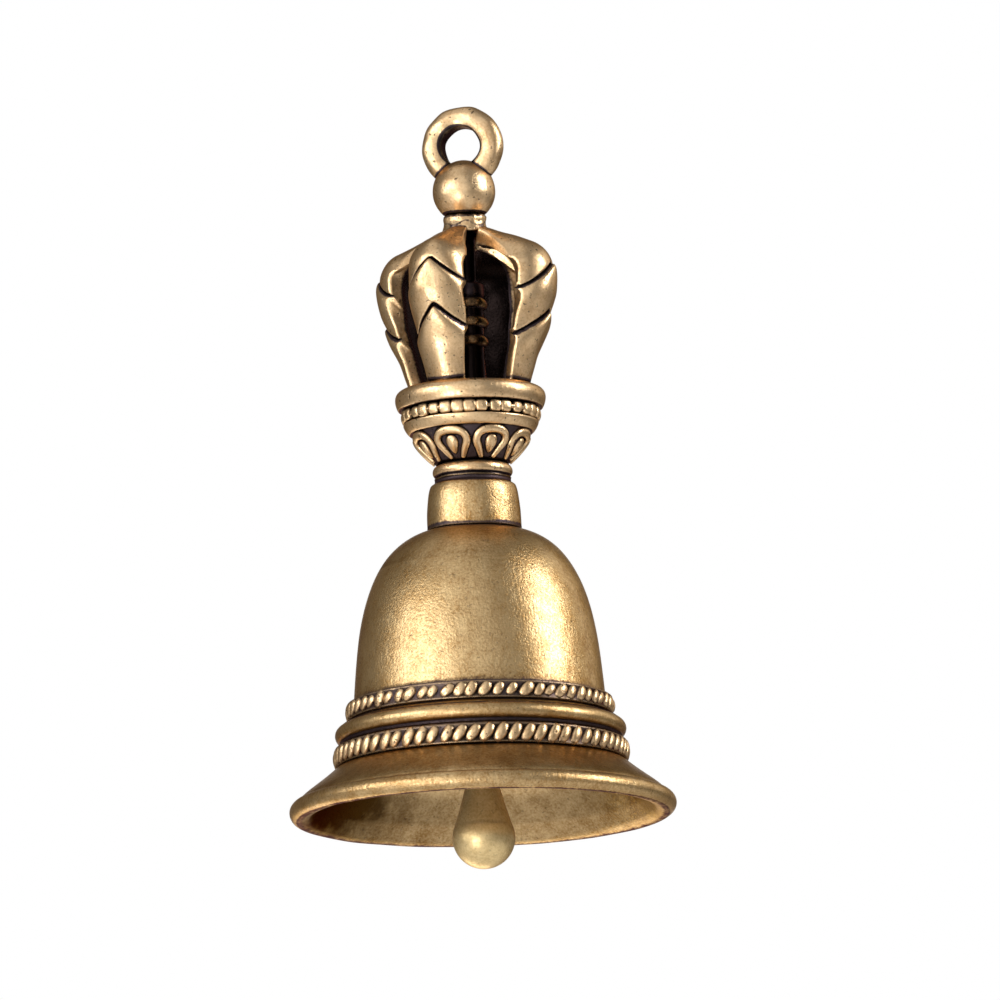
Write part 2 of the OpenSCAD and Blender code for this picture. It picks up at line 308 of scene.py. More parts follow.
rim_r = 0.6
bell_outline = np.vstack([
    arc(LIP_R - rim_r, rim_r - RIM_OVER, rim_r, -100, 62, 20),
    [[LIP_R - 0.42, 1.01], [LIP_R - 0.5, 1.03], [LIP_R - 0.56, 1.12]],
    bezier((LIP_R - 0.62, 1.2), (11, 1.62), (10.1, 2.15), (9.05, 3.08), 22),
    [[8.8, 3.1], [8.56, 3.2], [8.5, 3.8], [8.55, 4.4], [8.7, 4.47]],
    [[8.5, 4.56], [8.36, 4.65], [8.34, 5.17], [8.36, 5.7], [8.22, 5.84], [8.14, 5.95]],
    [[8.08, 6.04], [7.83, 6.1], [7.8, 6.65], [7.83, 7.15], [7.88, 7.24]],
    bezier((7.8, 7.32), (7.42, 12.4), (6.76, 16.93), (2.95, SEAM_Z), 84),
    [[1.8, SEAM_Z], [0.64, SEAM_Z], [0.62, 17.4], [0.62, 16.9], [0.64, CEILING_Z], [1.5, CEILING_Z]],
    bezier((2.3, CEILING_Z), (5.85, 15.95), (6.45, 11.8), (6.75, 7.3), 34),
    bezier((6.95, 6), (7.5, 4.2), (8.9, 2.3), (LIP_R - 1.2, 0.05), 24),
])
verts, faces = lathe(bell_outline, 320)
bell = metal("bell_shell_visual", cast(verts, 0.025, 3.2), faces)
radius = np.hypot(verts[:, 0], verts[:, 1])
height = verts[:, 2]
foot_line = np.exp(-((height - SEAM_Z) / 0.16) ** 2) * step(radius, 2.5, 2.8)
band_foot = step(height, 6.9, 7.2) * (1 - step(height, 7.45, 7.75)) * step(radius, 7.4, 7.6)
facing = np.arctan2(verts[:, 1], verts[:, 0])
inner = (1 - step(radius, LIP_R - 1.3, LIP_R - 0.9)) * (1 - step(height, 15, 16.5))
inner *= radius < np.interp(height, [0, 3.1, 7.3, 16], [LIP_R - 0.9, 8.4, 7.3, 6])
# Painted shade on the inner wall: darkest on the left side, a little on the right.
painted_shade = 0.12 + 0.95 * np.clip(np.cos(facing - math.radians(166)), 0, 1) ** 4
painted_shade += 0.22 * np.clip(np.cos(facing - math.radians(10)), 0, 1) ** 6
# Painted shade under the rolled lip: its underside is darkened.
under = np.exp(-((height + 0.06) / 0.11) ** 2) * step(radius, LIP_R - 1.25, LIP_R - 1.1)
under *= 1 - step(radius, LIP_R - 0.42, LIP_R - 0.3)
crease = np.exp(-((radius - LIP_R + 0.49) / 0.1) ** 2) * step(height, 0.9, 1.0)
# These marks also carry painted shade on the inner wall and under the lip.
patina_and_shade(bell, 0.5 * foot_line + 0.3 * band_foot + 0.2 * inner * painted_shade + 0.6 * under + 0.4 * crease)
# Painted shade on the top of the flare as well.
flare_top = step(radius, 8.6, 9) * (1 - step(radius, LIP_R - 0.7, LIP_R - 0.5)) * step(height, 0.9, 1)
patina_and_shade(bell, inner * painted_shade + 0.28 * flare_top, "painted_shade")
satin = brass(
    "satin_brass", (0.68, 0.48, 0.24), (0.30, 0.155, 0.04), rough=0.37, shadow=0.0, wide_shade_brown=2.0,
    tarnish=0.5, grain=1.9, pitted=0.35, rubbed=0.25, lacquer=0.3,
)
bell.data.materials.append(satin)
fit(bell, "bell", "satin_brass", "bell_shell")

# --- The rope bands and the plain band between them ------------------------------
# Three cast bands around the foot of the wall: a plain half-round one between two that are
# twisted like rope. Each is let into its own seat, and old polish has dried purple-grey
# on the ledges and between the strands.


def rope_ledge(out, r, z):
    """The band that the strands of a rope stand on, with a flat ledge above and below them."""
    return lathe([
        [out - r, z - 0.95 * r], [out - 0.5, z - 0.98 * r], [out - 0.33, z - 0.94 * r],
        [out - 0.2, z - 0.86 * r], [out - 0.24, z - 0.72 * r], [out - 0.27, z],
        [out - 0.24, z + 0.72 * r], [out - 0.2, z + 0.86 * r], [out - 0.33, z + 0.94 * r],
        [out - 0.5, z + 0.98 * r], [out - r, z + 0.95 * r],
    ], 288)


def ring_of_pieces():
    """A Geometry Nodes tree that sets copies of a piece around the axis and joins them to the
    mesh that it is put on, each a little unlike the next."""
    tree = bpy.data.node_groups.new("Ring Of Pieces", "GeometryNodeTree")
    slots = {}
    for label, kind, value in (
        ("Geometry", "NodeSocketGeometry", None), ("Piece", "NodeSocketObject", None),
        ("Count", "NodeSocketInt", 12), ("Radius", "NodeSocketFloat", 0.01),
        ("Height", "NodeSocketFloat", 0.0), ("Size Spread", "NodeSocketFloat", 0.05),
        ("Turn Spread", "NodeSocketFloat", 0.0), ("Lean Spread", "NodeSocketFloat", 0.0),
        ("Start", "NodeSocketFloat", 0.0), ("Seed", "NodeSocketInt", 1),
        ("Metal", "NodeSocketMaterial", None),
    ):
        slots[label] = tree.interface.new_socket(name=label, in_out="INPUT", socket_type=kind)
        if value is not None:
            slots[label].default_value = value
    tree.interface.new_socket(name="Geometry", in_out="OUTPUT", socket_type="NodeSocketGeometry")
    source = tree.nodes.new("NodeGroupInput")
    result = tree.nodes.new("NodeGroupOutput")

    def add(kind, settings=None, inputs=None):
        made = tree.nodes.new(kind)
        for key, value in (settings or {}).items():
            setattr(made, key, value)
        for key, value in (inputs or {}).items():
            if hasattr(value, "is_linked"):
                tree.links.new(value, made.inputs[key])
            else:
                made.inputs[key].default_value = value
        return made.outputs

    def sums(operation, first, second):
        return add("ShaderNodeMath", {"operation": operation}, {0: first, 1: second})[0]

    given = source.outputs
    points = add("GeometryNodePoints", {}, {"Count": given["Count"]})[0]
    index = add("GeometryNodeInputIndex")[0]

    def chance(low, high, skip):
        return add(
            "FunctionNodeRandomValue", {"data_type": "FLOAT"},
            {2: low, 3: high, "ID": index, "Seed": sums("ADD", given["Seed"], skip)},
        )[1]

    each = sums("DIVIDE", 2 * math.pi, given["Count"])
    drift = sums("MULTIPLY", chance(-1.0, 1.0, 0.0), given["Turn Spread"])
    turn = sums("MULTIPLY", sums("ADD", index, drift), each)
    turn = sums("ADD", turn, given["Start"])
    where = add("ShaderNodeCombineXYZ", {}, {
        0: sums("MULTIPLY", sums("COSINE", turn, 0.0), given["Radius"]),
        1: sums("MULTIPLY", sums("SINE", turn, 0.0), given["Radius"]),
        2: given["Height"],
    })[0]
    set_points = add("GeometryNodeSetPosition", {}, {"Geometry": points, "Position": where})[0]
    lean = sums("MULTIPLY", chance(-1.0, 1.0, 9.0), given["Lean Spread"])
    facing = add("ShaderNodeCombineXYZ", {}, {0: lean, 2: turn})[0]
    low = sums("SUBTRACT", 1.0, given["Size Spread"])
    high = sums("ADD", 1.0, given["Size Spread"])
    piece = add("GeometryNodeObjectInfo", {}, {"Object": given["Piece"]})["Geometry"]
    copies = add("GeometryNodeInstanceOnPoints", {}, {
        "Points": set_points, "Instance": piece, "Rotation": facing, "Scale": chance(low, high, 5.0),
    })[0]
    joined = add("GeometryNodeJoinGeometry")
    join = tree.nodes[-1]
    tree.links.new(given["Geometry"], join.inputs[0])
    tree.links.new(copies, join.inputs[0])
    real = add("GeometryNodeRealizeInstances", {}, {"Geometry": joined[0]})[0]
    clad = add("GeometryNodeSetMaterial", {}, {"Geometry": real, "Material": given["Metal"]})[0]
    tree.links.new(clad, result.inputs[0])
    return tree


RING = ring_of_pieces()


def set_around(obj, piece, finish, count, radius, height, spread, seed, turn=0.0, lean=0.0, start=0.0):
    """Puts copies of piece around obj with the ring tree and leaves one plain mesh."""
    mod = obj.modifiers.new("ring", "NODES")
    mod.node_group = RING
    wanted = {
        "Piece": piece, "Count": count, "Radius": radius * MM, "Height": BASE_Z + height * MM,
        "Size Spread": spread, "Turn Spread": turn, "Lean Spread": lean, "Start": start,
        "Seed": seed, "Metal": finish,
    }
    for item in RING.interface.items_tree:
        if item.in_out == "INPUT" and item.name in wanted:
            mod[item.identifier] = wanted[item.name]
    graph = bpy.context.evaluated_depsgraph_get()
    plain = bpy.data.meshes.new_from_object(obj.evaluated_get(graph))
    obj.modifiers.remove(mod)
    obj.data = plain
    plain.shade_smooth()
    bpy.data.objects.remove(piece)


def pebble(name, depth, width, height, lean=0.0, cols=14, rows=9, square=1.0):
    """A rounded strand or bead about its own middle: depth is along X, width along Y."""
    across = np.radians(np.linspace(-90, 90, rows + 1))
    outline = np.stack([np.cos(across) ** square, np.sin(across)], 1)
    outline[[0, -1], 0] = 0
    v, f = lathe(outline, cols)
    v[:, :2] = np.sign(v[:, :2]) * np.abs(v[:, :2]) ** square
    v = v * (depth, width, height)
    v[:, 0] -= 0.18 * depth * (v[:, 2] / height) ** 2
    tilt = math.radians(lean)
    turned = v.copy()
    turned[:, 1] = v[:, 1] * math.cos(tilt) + v[:, 2] * math.sin(tilt)
    turned[:, 2] = v[:, 2] * math.cos(tilt) - v[:, 1] * math.sin(tilt)
    return metal(name, turned, f, base=0.0)


cast_brass = brass(
    "antiqued_brass", (0.78, 0.55, 0.31), (0.44, 0.25, 0.105), rough=0.35, gather=1.5,
    shadow=0.12, wide_shade_brown=0.6, turned=0.0, tarnish=0.36, pitted=0.75, rubbed=0.6,
)
lower = metal("lower_rope_visual", *rope_ledge(9.25, 0.66, 3.8))
patina_and_shade(lower, np.full(len(lower.data.vertices), 0.45))
strand = pebble("strand", 0.33, 0.36, 0.68, lean=30, square=0.8)
set_around(lower, strand, cast_brass, 66, 8.9, 3.8, 0.06, 3, turn=0.06, lean=0.08)
fit(lower, "bell", "antiqued_brass", "lower_rope_band")

verts, faces = lathe(np.vstack([
    [[8.39, 4.54], [8.6, 4.54], [8.66, 4.6], [8.66, 4.72]], arc(9.03 - 0.52, 5.24, 0.52, -68, 68, 18),
    [[8.66, 5.72], [8.62, 5.8], [8.39, 5.8]],
]), 288)
middle = metal("middle_band_visual", verts, faces)
height = verts[:, 2]
patina_and_shade(middle, 0.5 * (1 - step(height, 4.72, 4.82)) + 0.5 * step(height, 5.68, 5.74))
middle.data.materials.append(satin)
fit(middle, "bell", "satin_brass", "middle_band")

upper = metal("upper_rope_visual", *rope_ledge(8.42, 0.58, 6.65))
patina_and_shade(upper, np.full(len(upper.data.vertices), 0.45))
strand = pebble("strand", 0.29, 0.34, 0.56, lean=38, square=0.8)
set_around(upper, strand, cast_brass, 62, 8.08, 6.65, 0.14, 8, turn=0.16, lean=0.2)
fit(upper, "bell", "antiqued_brass", "upper_rope_band")

# --- Barrel and neck ring ---------------------------------------------------------
# Two turned collars threaded on the tang above the dome: a short barrel with softened
# ends, and a thin round-edged ring under the cup. A groove full of old polish parts them.

hole_r = 0.63
barrel_low = SEAM_Z
barrel_high = (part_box("neck_barrel")[1][2] - BASE_Z) / MM
barrel_r = 2.93
groove_r = 2.38
verts, faces = lathe(np.vstack([
    [[hole_r, barrel_low + 0.01], [2.6, barrel_low + 0.01]],
    arc(barrel_r - 0.13, barrel_low + 0.16, 0.13, -80, 0, 6),
    bezier((barrel_r - 0.01, barrel_low + 0.3), (barrel_r - 0.03, barrel_low + 1.5),
           (barrel_r - 0.06, barrel_high - 0.85), (2.64, barrel_high - 0.4), 30),
    bezier((2.6, barrel_high - 0.36), (2.52, barrel_high - 0.28), (2.44, barrel_high - 0.26),
           (groove_r, barrel_high - 0.2), 6),
    [[groove_r - 0.02, barrel_high - 0.1], [groove_r - 0.02, barrel_high], [hole_r, barrel_high]],
]), 256)
barrel = metal("neck_barrel_visual", cast(verts, 0.03, 1.3, 2), faces)
height = verts[:, 2] + 0.08 * np.sin(3 * np.arctan2(verts[:, 1], verts[:, 0]))
patina_and_shade(barrel, 0.6 * step(height, barrel_high - 0.42, barrel_high - 0.3)
     + 0.52 * (1 - step(height, barrel_low + 0.24, barrel_low + 0.5)))
barrel.data.materials.append(satin)
fit(barrel, "bell", "satin_brass", "neck_barrel")

ring_low = barrel_high
ring_high = (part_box("neck_ring")[1][2] - BASE_Z) / MM
verts, faces = lathe(np.vstack([
    [[hole_r, ring_low + 0.01], [groove_r - 0.05, ring_low + 0.01], [groove_r, ring_low + 0.09]],
    arc(2.09, (ring_low + ring_high) / 2 + 0.06, 0.4, -64, 70, 14),
    [[2.24, ring_high - 0.08], [2.2, ring_high - 0.01], [hole_r, ring_high - 0.01]],
]), 256)
collar_ring = metal("neck_ring_visual", cast(verts, 0.03, 1.1, 3), faces)
patina_and_shade(collar_ring, 0.6 * (1 - step(verts[:, 2], ring_low + 0.2, ring_low + 0.36)))
collar_ring.data.materials.append(cast_brass)
fit(collar_ring, "bell", "antiqued_brass", "neck_ring")

# --- Lotus cup and its string of beads ----------------------------------------------
# A cast cup that carries the crown: a thick rounded edge, a groove with a string of beads
# lying in it, a plain band, and eight petals standing out from a dark ground. Each petal is
# a raised hoop, open at its foot, round a raised drop.

cup_low = ring_high
cup_high = (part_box("lotus_cup")[1][2] - BASE_Z) / MM
cup_r = 4.7
bead_z = cup_low + 3.08
bead_c = cup_r - 0.54
bowl = bezier((2.35, 0.15), (2.8, 0.6), (3.4, 1.2), (3.66, 1.95), 24) + (0, cup_low)
verts, faces = lathe(np.vstack([
    [[hole_r, cup_low + 0.01], [2.22, cup_low + 0.01]],
    bowl,
    [[3.7, cup_low + 1.97], [3.8, cup_low + 1.98]],
    bezier((3.86, cup_low + 2.01), (4.0, cup_low + 2.12), (4.16, cup_low + 2.38),
           (4.21, cup_low + 2.58), 8),
    [[4.18, cup_low + 2.65], [4.05, cup_low + 2.67], [3.84, cup_low + 2.68]],
    [[3.82, cup_low + 2.75], [3.82, cup_low + 3.42], [3.84, cup_low + 3.49]],
    [[4.2, cup_low + 3.5], [4.44, cup_low + 3.51], [4.51, cup_low + 3.56]],
    bezier((4.56, cup_low + 3.66), (4.76, cup_low + 4.15), (4.75, cup_low + 4.7),
           (4.05, cup_high), 24),
    [[3.6, cup_high], [2.5, cup_high - 0.005], [hole_r, cup_high - 0.01]],
]), 256)
cup = metal("lotus_cup_visual", cast(verts, 0.025, 1.6, 5), faces)
radius = np.hypot(verts[:, 0], verts[:, 1])
height = verts[:, 2] - cup_low
channel = step(height, 2.6, 2.68) * (1 - step(height, 3.48, 3.58))
ground = (1 - step(height, 1.96, 2.02)) * step(height, -0.1, 0.1)
patina_and_shade(cup, 0.5 * channel + 0.55 * ground)


def petal(name):
    """One petal on the bowl of the cup, its middle on +X: the hoop's path and the drop are
    drawn as distance round the cup, distance up the bowl and height over it."""
    half = [(0.42, 0.02), (0.52, 0.35), (0.7, 0.75), (0.92, 1.1), (0.99, 1.42), (0.89, 1.76)]
    half += [(0.54, 1.98)]
    path = np.array([(-x, y) for x, y in half] + [(0, 2.04)] + [(x, y) for x, y in half[::-1]])
    spots = np.linspace(0, len(path) - 1, 57)
    path = np.stack([np.interp(spots, np.arange(len(path)), path[:, n]) for n in (0, 1)], 1)
    for _ in range(6):
        path[1:-1] = (path[:-2] + 2 * path[1:-1] + path[2:]) / 4
    along = np.gradient(path, axis=0)
    along /= np.linalg.norm(along, axis=1)[:, None]
    side = np.stack([-along[:, 1], along[:, 0]], 1)
    swell = 0.52 + 0.48 * np.sin(np.linspace(0.1, np.pi - 0.1, len(path)))
    n = 12
    around = np.linspace(0, 2 * np.pi, n, endpoint=False)
    v = []
    for p, s, w in zip(path, side, swell):
        for a in around:
            off = 0.27 * w * math.copysign(abs(math.cos(a)) ** 0.8, math.cos(a))
            v.append((p[0] + s[0] * off, p[1] + s[1] * off, 0.02 + 0.19 * w * math.sin(a)))
    f = []
    for i in range(len(path) - 1):
        for m in range(n):
            q = (m + 1) % n
            f.append((i * n + m, i * n + q, i * n + n + q, i * n + n + m))
    f.append(tuple(range(n))[::-1])
    f.append(tuple(range(len(v) - n, len(v))))
    ball_v, ball_f = lathe(arc(0, 0, 1, -90, 90, 10), 20)
    ball_v = ball_v[:, [0, 2, 1]]
    drop = np.stack([
        ball_v[:, 0] * (0.34 + 0.17 * ball_v[:, 1]), 0.98 + 0.66 * ball_v[:, 1],
        0.02 + 0.2 * ball_v[:, 2],
    ], 1)
    flat, f = together((np.array(v), f), (drop, ball_f))
    run = np.concatenate([[0], np.cumsum(np.hypot(*np.diff(bowl, axis=0).T))])
    foot = np.interp(flat[:, 1], run, bowl[:, 0])
    level = np.interp(flat[:, 1], run, bowl[:, 1]) - cup_low
    slope = np.gradient(bowl, axis=0)
    slope /= np.linalg.norm(slope, axis=1)[:, None]
    lean_out = np.interp(flat[:, 1], run, slope[:, 1])
    lean_down = np.interp(flat[:, 1], run, slope[:, 0])
    past = np.maximum(flat[:, 1] - run[-1], 0)
    out = foot + flat[:, 2] * lean_out + past * 0.3
    turn = flat[:, 0] / np.maximum(foot, 2.6)
    laid = np.stack([
        out * np.cos(turn), out * np.sin(turn), level - flat[:, 2] * lean_down + past * 0.95,
    ], 1)
    return metal(name, laid, f, base=0.0)


petal_count = 8
petal_start = math.radians(22.5)
set_around(cup, petal("petal"), cast_brass, petal_count, 0.0, cup_low, 0.0, 2, start=petal_start)
fit(cup, "bell", "antiqued_brass", "lotus_cup")

bead_wire = metal("bead_ring_visual", *lathe(arc(bead_c, bead_z, 0.15, 0, 330, 11), 200))
patina_and_shade(bead_wire, np.full(len(bead_wire.data.vertices), 0.4))
bead = pebble("bead", 0.24, 0.4, 0.37, cols=18, rows=12, square=0.6)
set_around(bead_wire, bead, cast_brass, 32, bead_c - 0.03, bead_z, 0.12, 11, turn=0.22)
fit(bead_wire, "bell", "antiqued_brass", "bead_ring")

# --- Spindle inside the crown ----------------------------------------------------------
# A ribbed rod stands in the middle of the crown, and thins to the tang that holds the whole
# handle together. It was never polished, so the casting's black patina is all still there,
# rubbed only on the ribs.

crown_low = cup_high
crown_high = (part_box("crown_collar")[0][2] - BASE_Z) / MM
crown_h = crown_high - crown_low
tang_low = (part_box("core_spindle")[0][2] - BASE_Z) / MM
tang_high = (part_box("core_spindle")[1][2] - BASE_Z) / MM
spindle_outline = [[0, tang_low], [0.5, tang_low], [0.59, tang_low + 0.1], [0.6, crown_low]]
spindle_outline += [[0.62, crown_low + 0.01], [1.03, crown_low + 0.02], [1.05, crown_low + 0.2]]
spindle_outline += [[0.98, crown_low + 1.2]]
for share in (0.3, 0.42, 0.54):
    rib_z = crown_low + share * crown_h
    spindle_outline += [[0.98, rib_z - 0.37]]
    spindle_outline += arc(0.86, rib_z, 0.38, -72, 72, 10).tolist()
    spindle_outline += [[0.98, rib_z + 0.37]]
spindle_outline += [[1.03, crown_low + 5.9], [1.04, crown_low + 6.5], [0.9, crown_low + 6.62]]
spindle_outline += [[0.62, crown_low + 6.66], [0.6, crown_low + 6.8], [0.59, tang_high - 0.1]]
spindle_outline += [[0, tang_high]]
verts, faces = lathe(spindle_outline, 96)
spindle = metal("core_spindle_visual", cast(verts, 0.06, 0.8, 4), faces)
black_brass = brass(
    "dark_brass", (0.30, 0.17, 0.07), (0.03, 0.018, 0.012), rough=0.28, gather=1.2, shadow=0.8,
    wide_shade_brown=0.9, turned=0.0, tarnish=0.7, pitted=0.5, rubbed=0.9,
)
radius = np.hypot(verts[:, 0], verts[:, 1])
patina_and_shade(spindle, 0.7 * (1 - step(radius, 1.06, 1.16)))
spindle.data.materials.append(black_brass)
fit(spindle, "bell", "dark_brass", "core_spindle")

# --- Four prongs of the crown -------------------------------------------------------------
# Four cast prongs curve up from the cup and in to the collar, like closed leaves. Each has
# three overlapping scales parted by two chevron grooves, flat polished sides that are
# darkened towards the inner edge with painted shade, and a black inner face hollowed round
# one room.

drawn_h = 9.8
k = crown_h / drawn_h
leg_steps = 20
ridge_r = 6.0
shoulder_r = 2.2 * k
belly_r = 4 * k
leg_lean = math.radians(20)
tip_lean = math.radians(70)
prong_half = 1.87
front_r = 2.0
scale_tops = (4.45 * k, 7.5 * k)
room_r = 4.08
room = np.vstack([
    bezier((room_r - 1.23, 0), (room_r - 0.63, 2.1 * k), (room_r - 0.03, 4.2 * k),
           (room_r, 6 * k), leg_steps),
    bezier((room_r + 0.01, 6.2 * k), (room_r + 0.02, 7.6 * k), (0.84 * room_r, 8.45 * k),
           (1, 8.9 * k), 24),
    [[0, 8.95 * k]],
])


def prong_path():
    """Ridge of a prong from its foot up: radius, height over the cup, and the way it faces."""
    belly = np.array([ridge_r - belly_r, 5.95 * k])
    end = belly + belly_r * np.array([math.cos(leg_lean), -math.sin(leg_lean)])
    rows = []
    for t in np.linspace(end[1] / math.cos(leg_lean) + 0.2, 0, 73, endpoint=False):
        spot = end - t * np.array([math.sin(leg_lean), math.cos(leg_lean)])
        rows.append((*spot, -leg_lean))
    for a in np.linspace(-leg_lean, 0, 28, endpoint=False):
        rows.append((belly[0] + belly_r * math.cos(a), belly[1] + belly_r * math.sin(a), a))
    for z in np.linspace(5.95 * k, 6.95 * k, 20, endpoint=False):
        rows.append((ridge_r, z, 0))
    hub = np.array([ridge_r - shoulder_r, 6.95 * k])
    for a in np.linspace(0, tip_lean, 56, endpoint=False):
        rows.append((hub[0] + shoulder_r * math.cos(a), hub[1] + shoulder_r * math.sin(a), a))
    tip = hub + shoulder_r * np.array([math.cos(tip_lean), math.sin(tip_lean)])
    for t in np.linspace(0, (tip[0] - 1.3) / math.sin(tip_lean), 40):
        rows.append((tip[0] - t * math.sin(tip_lean), tip[1] + t * math.cos(tip_lean), tip_lean))
    return np.array(rows)


def prong(turn, seed):
    """Vertices, faces, and patina and painted shade of one prong, its foot on the cup."""
    path = prong_path()
    low_half = np.interp(path[:, 1], np.array([0, 1.8, 3.8, 5.6]) * k, [0.68, 0.84, 0.96, 1])
    plan_half = np.interp(path[:, 0], [0.6, 1.5, 2.5, 3.5, 4.6], [0.26, 0.36, 0.52, 0.76, 1.02])
    half = prong_half * np.minimum(np.minimum(low_half, plan_half), 1.0)
    front = np.linspace(-1, 1, 49)
    back = np.linspace(1, -1, 11)
    side = np.linspace(0, 1, 7)[1:]
    run = np.concatenate([[0], np.cumsum(np.hypot(*np.diff(room, axis=0).T))])
    shoulder = np.argmax(path[:, 2] > 0)
    marks = [0, shoulder // 2, shoulder, len(path) - 1]
    stops = [0, np.interp(3.4 * k, room[:leg_steps + 1, 1], run[:leg_steps + 1]),
             run[leg_steps], run[-2]]
    share = np.interp(np.arange(len(path)), marks, stops)
    wall = np.stack([np.interp(share, run, room[:, n]) for n in (0, 1)], 1)
    v, prong_patina_and_shade = [], []
    for (r, z, a), w, (wall_r, wall_z) in zip(path, half, wall):
        up = np.array([math.cos(a), math.sin(a)])
        y = front * w
        level = np.sqrt(front_r ** 2 - y ** 2) - front_r
        level -= 0.1 * (np.sqrt((y / 1.2) ** 2 + 0.02) - 0.14)
        off = y - 0.22
        reach = z + up[1] * level + np.sqrt(off ** 2 + 0.012) * math.tan(math.radians(43))
        groove = np.zeros_like(y)
        for c in scale_tops:
            d = reach - c
            under = np.clip(-d, 0, None)
            swell = 0.2 * (1 - np.exp(-under / 0.16)) * np.exp(-((under - 0.3) / 1.3) ** 2)
            level += np.where(d < 0, swell, -0.1 * np.exp(-np.abs(d) / 0.5))
            cut = np.exp(-((d - 0.04) / 0.085) ** 2)
            level -= 0.26 * cut
            groove += np.exp(-((d - 0.04) / 0.1) ** 2)
        level = level - 0.12
        face = np.stack([r + up[0] * level, y, z + up[1] * level], 1)
        inside = back * w * 0.66
        inner = np.stack([
            np.sqrt(np.maximum(wall_r ** 2 - inside ** 2, 0.01)), inside, np.full(len(back), wall_z),
        ], 1)
        rim = face[-1] - 0.06 * np.array([up[0], 0, up[1]])
        right = rim + (inner[0] - rim) * side[:, None]
        right[:-1, 1] += 0.03
        v.append(np.vstack([face, right, inner[1:-1], right[::-1] * (1, -1, 1)]))
        near_foot = 0.6 * math.exp(-max(z, 0) / 0.16)
        # Patina in the grooves and at the foot; the side faces are darkened towards the inner edge as
        # painted shade; the inner face is black.
        prong_patina_and_shade.append(np.concatenate([
            0.9 * groove + near_foot, 0.55 * side ** 3 + near_foot, np.full(len(back) - 2, 1.2),
            0.55 * side[::-1] ** 3 + near_foot,
        ]))
    n = len(v[0])
    v = np.vstack(v)
    prong_patina_and_shade = np.concatenate(prong_patina_and_shade)
    f = []
    for i in range(len(path) - 1):
        for m in range(n):
            q = (m + 1) % n
            f.append((i * n + m, i * n + q, (i + 1) * n + q, (i + 1) * n + m))
    f.append(tuple(range(n))[::-1])
    f.append(tuple(range(len(v) - n, len(v))))
    v[:, 2] += crown_low
    v = cast(v, 0.07, 1.5, seed)
    v[:, 2] = np.maximum(v[:, 2], crown_low - 0.04)
    c, s = math.cos(turn), math.sin(turn)
    return np.stack([v[:, 0] * c - v[:, 1] * s, v[:, 0] * s + v[:, 1] * c, v[:, 2]], 1), f, prong_patina_and_shade


for i in range(4):
    verts, faces, prong_patina_and_shade = prong(math.radians(90 * i - 115), i + 1)
    leaf = metal(f"crown_prong_{i + 1}_visual", verts, faces)
    patina_and_shade(leaf, prong_patina_and_shade)
    leaf.data.materials.append(cast_brass)
    fit(leaf, "bell", "antiqued_brass", f"crown_prong_{i + 1}")

# --- Collar, ball and hanging loop --------------------------------------------------------
# The prongs run in under a small turned collar. The ball above it is pushed on the tang, and
# the loop, a ring with a flat bore, is soldered on the ball with its feet drawn round it.

collar_low = crown_high
collar_high = (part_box("crown_collar")[1][2] - BASE_Z) / MM
collar_outline = np.vstack([
    [[hole_r, collar_low], [1.3, collar_low], [1.36, collar_low + 0.06]],
    bezier((1.38, collar_low + 0.16), (1.38, collar_low + 0.4), (1.3, collar_low + 0.5),
           (1.3, collar_low + 0.66), 8),
    [[1.32, collar_high - 0.3], [1.31, collar_high - 0.12]],
    [[1.2, collar_high - 0.02], [hole_r, collar_high]],
])
verts, faces = lathe(collar_outline, 144)
height = verts[:, 2]
wander = height + 0.12 * np.sin(5 * np.arctan2(verts[:, 1], verts[:, 0]))
collar = metal("crown_collar_visual", cast(verts, 0.12, 0.6, 5), faces)
patina_and_shade(collar, 0.45 * step(wander, collar_low + 0.3, collar_low + 0.4)
     * (1 - step(wander, collar_low + 0.5, collar_low + 0.6))
     + 0.8 * step(height, collar_high - 0.22, collar_high - 0.08))
collar.data.materials.append(cast_brass)
fit(collar, "bell", "antiqued_brass", "crown_collar")

ball_r = 1.96
ball_z = collar_high + 0.78 * ball_r
ball_foot = -math.degrees(math.asin(0.78))
verts, faces = lathe(np.vstack([
    [[0, collar_high], [hole_r, collar_high]], arc(0, ball_z, ball_r - 0.01, ball_foot, 86, 72),
    [[0, ball_z + ball_r - 0.02]],
]), 176)
height = verts[:, 2]
ball = metal("finial_ball_visual", cast(verts, 0.03, 1.3, 6), faces)
patina_and_shade(ball, 0.7 * (1 - step(height, ball_z - 0.74 * ball_r, ball_z - 0.66 * ball_r)))
ball.data.materials.append(cast_brass)
fit(ball, "bell", "antiqued_brass", "finial_ball")

bore_r = 1.22
ring_mid = 1.818
tube = 0.7616
loop_z = -BASE_Z / MM
section = []
for a in np.linspace(0, 2 * math.pi, 44, endpoint=False):
    c, s = math.cos(a), math.sin(a)
    out = math.copysign(abs(c) ** 0.86, c) * tube
    section.append((max(ring_mid + out, bore_r + 0.012), 0.75 * math.copysign(abs(s) ** 0.92, s)))
verts, faces = lathe(section, 176)
verts = verts[:, [0, 2, 1]] * (1, -1, 1)
